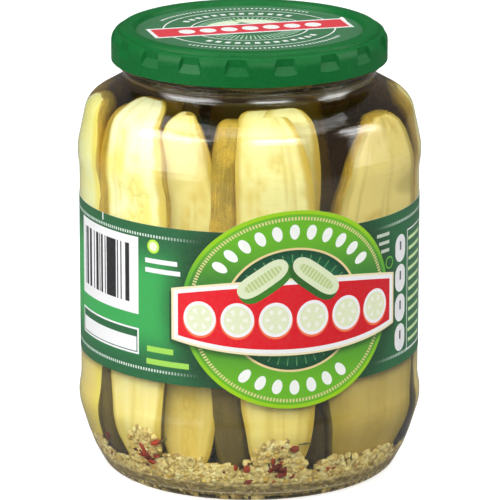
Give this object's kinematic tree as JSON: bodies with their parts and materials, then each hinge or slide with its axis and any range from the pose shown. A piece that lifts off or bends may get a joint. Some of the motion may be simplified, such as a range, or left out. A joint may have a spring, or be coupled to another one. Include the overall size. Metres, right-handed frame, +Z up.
{
  "type": "pickle jar",
  "caption": "Round glass jar of halved pickles in brine, closed by a green metal lug cap and wrapped in a green band label with a medallion.",
  "frame": {"origin": "centre of the circle that the jar stands on, at the height of the table", "axes": "+Z up along the jar's axis, and the label's medallion faces -Y"},
  "size_m": [0.1084, 0.1084, 0.1417],
  "materials": {
    "jar": "clear flint glass, fire-polished",
    "cap": "green lacquered tinplate with a satin coat",
    "label": "glossy coated paper printed in greens, red and cream",
    "brine": "clear yellow-green brine that holds halved pickles"
  },
  "bodies": {
    "root": {"jar": "jar", "cap": "cap", "label": "label", "brine": "brine"}
  },
  "joints": []
}
